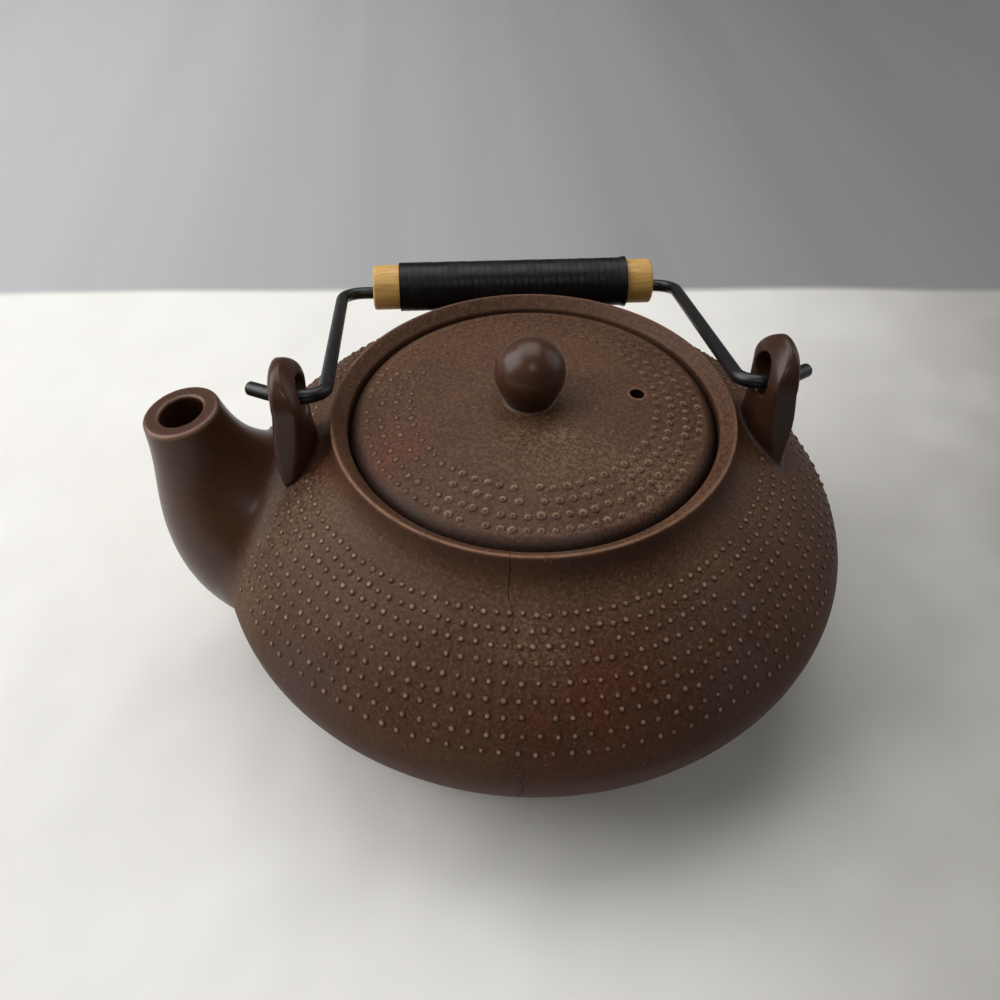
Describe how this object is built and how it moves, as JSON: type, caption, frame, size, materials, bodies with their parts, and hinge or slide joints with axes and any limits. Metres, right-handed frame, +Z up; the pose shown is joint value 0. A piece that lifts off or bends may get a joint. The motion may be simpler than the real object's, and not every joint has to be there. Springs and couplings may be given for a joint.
{
  "type": "teapot",
  "caption": "low round clay teapot with a dot pattern, straight spout, ball-knob lid and a folding wire bail with a wound wooden grip",
  "frame": {"origin": "centre of the flat base, on the pot's axis", "axes": "+Z up along the pot's axis, -X towards the spout, +Y towards the folded bail"},
  "size_m": [0.1739, 0.16, 0.093],
  "materials": {
    "clay": "unglazed brown clay, semi-matte, with ochre dust",
    "polished_clay": "unglazed dark brown clay, burnished",
    "black_wire": "black coated steel wire, satin",
    "wood": "pale straw wood, smooth",
    "winding": "black flat strand, satin"
  },
  "bodies": {
    "pot": {"pot_body": "clay", "spout": "clay", "spout_strainer": "clay", "lug_spout_side": "polished_clay", "lug_rear_side": "polished_clay"},
    "lid": {"lid_plate": "clay", "lid_flange": "clay", "lid_knob": "polished_clay"},
    "bail": {"bail_wire": "black_wire"},
    "grip": {"grip_core": "wood", "grip_wrap": "winding"}
  },
  "joints": [
    {"name": "bail_swing", "type": "hinge", "parent": "pot", "child": "bail", "pos_m": [0.0005, 0, 0.07975], "axis": [0.9998, 0, -0.0201], "range_deg": [0, 207.5]},
    {"name": "grip_spin", "type": "hinge", "parent": "bail", "child": "grip", "pos_m": [0.00114, 0.07244, 0.06183], "axis": [0.9998, 0, -0.0201], "continuous": true},
    {"name": "lid_lift", "type": "slide", "parent": "pot", "child": "lid", "axis": [0, 0, 1], "range_m": [0, 0.035]}
  ]
}
